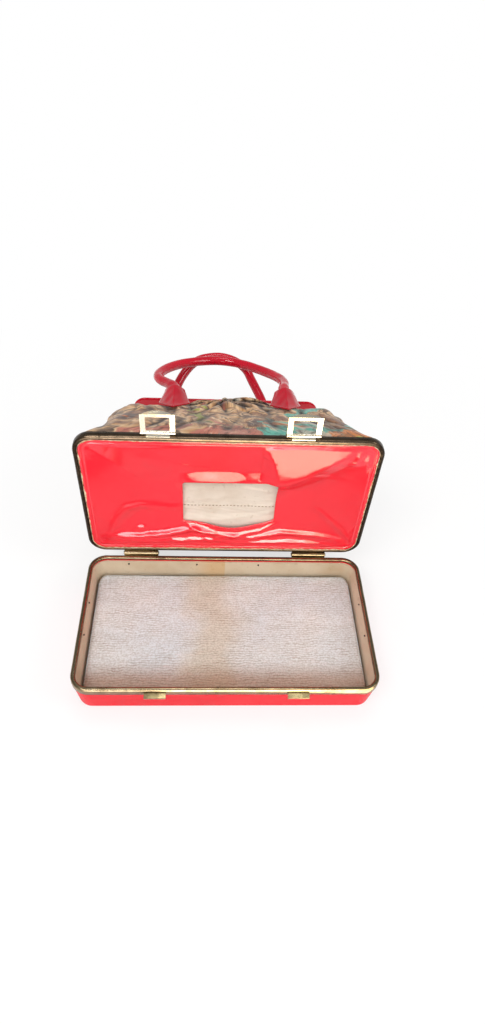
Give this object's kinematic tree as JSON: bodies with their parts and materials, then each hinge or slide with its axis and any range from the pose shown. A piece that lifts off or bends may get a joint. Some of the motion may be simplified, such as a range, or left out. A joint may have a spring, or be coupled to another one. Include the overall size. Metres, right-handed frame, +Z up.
{
  "type": "handbag with a hinged hard base tray",
  "caption": "Soft gathered handbag with tubular handles, hinged on a shallow rigid tray with a metal rim, bail latches and a padded tray bottom, modelled open.",
  "frame": {"origin": "centre of the tray's flat bottom face, where the part stands", "axes": "+Z up, +X to the right along the hinge, +Y from the tray's latch side to its hinge side; the bag is drawn open, lying behind the tray"},
  "size_m": [0.32, 0.4731, 0.2537],
  "materials": {
    "red_patent": "high-gloss patent vinyl",
    "gold_frame": "worn gold plating",
    "gold_fitting": "polished gold plating",
    "steel_pin": "plain",
    "printed_cloth": "matt printed cloth",
    "beige_lining": "matt woven lining",
    "ivory_pad": "embossed vinyl over foam",
    "board": "plain grey board",
    "handle_filler": "plain cord filler",
    "red_zip_tape": "woven tape"
  },
  "bodies": {
    "tray": {"tray_shell": "red_patent", "tray_frame": "gold_frame", "tray_lining": "beige_lining", "tray_floor": "board", "tray_pad": "ivory_pad", "lining_tacks": "steel_pin", "catch_left": "gold_fitting", "catch_right": "gold_fitting", "hinge_leaf_lower_left": "gold_fitting", "hinge_leaf_lower_right": "gold_fitting", "hinge_pin_left": "steel_pin", "hinge_pin_right": "steel_pin"},
    "bag": {"base_panel": "red_patent", "top_panel": "red_patent", "top_band_front": "red_patent", "top_band_back": "red_patent", "handle_cover_front": "red_patent", "handle_cover_rear": "red_patent", "handle_tab_front_left": "red_patent", "handle_tab_front_right": "red_patent", "handle_tab_rear_left": "red_patent", "handle_tab_rear_right": "red_patent", "bag_frame": "gold_frame", "hinge_leaf_upper_left": "gold_fitting", "hinge_leaf_upper_right": "gold_fitting", "latch_bracket_left": "gold_fitting", "latch_bracket_right": "gold_fitting", "zip_chain": "gold_fitting", "latch_pin_left": "steel_pin", "latch_pin_right": "steel_pin", "front_panel": "printed_cloth", "back_panel": "printed_cloth", "left_gusset": "printed_cloth", "right_gusset": "printed_cloth", "gathered_knot": "printed_cloth", "window_lining": "beige_lining", "bag_lining": "beige_lining", "base_board": "board", "handle_core_front": "handle_filler", "handle_core_rear": "handle_filler", "zip_tape_front": "red_zip_tape", "zip_tape_back": "red_zip_tape"},
    "bail_left": {"latch_bail_left": "gold_fitting"},
    "bail_right": {"latch_bail_right": "gold_fitting"},
    "slider": {"zip_slider": "gold_fitting"},
    "pull": {"zip_pull": "gold_fitting"}
  },
  "joints": [
    {"name": "lid", "type": "hinge", "parent": "tray", "child": "bag", "pos_m": [0, 0.091, 0.046], "axis": [1, 0, 0], "range_deg": [0, 90]},
    {"name": "latch_left", "type": "hinge", "parent": "bag", "child": "bail_left", "pos_m": [-0.073, 0.09585, 0.2279], "axis": [1, 0, 0], "range_deg": [-80, 90]},
    {"name": "latch_right", "type": "hinge", "parent": "bag", "child": "bail_right", "pos_m": [0.073, 0.09585, 0.2279], "axis": [1, 0, 0], "range_deg": [-80, 90]},
    {"name": "zip", "type": "slide", "parent": "bag", "child": "slider", "axis": [1, 0, 0], "range_m": [0, 0.174]},
    {"name": "zip_pull_swing", "type": "hinge", "parent": "slider", "child": "pull", "pos_m": [-0.088, 0.26775, 0.112], "axis": [0, 0, 1], "range_deg": [0, 175]}
  ]
}
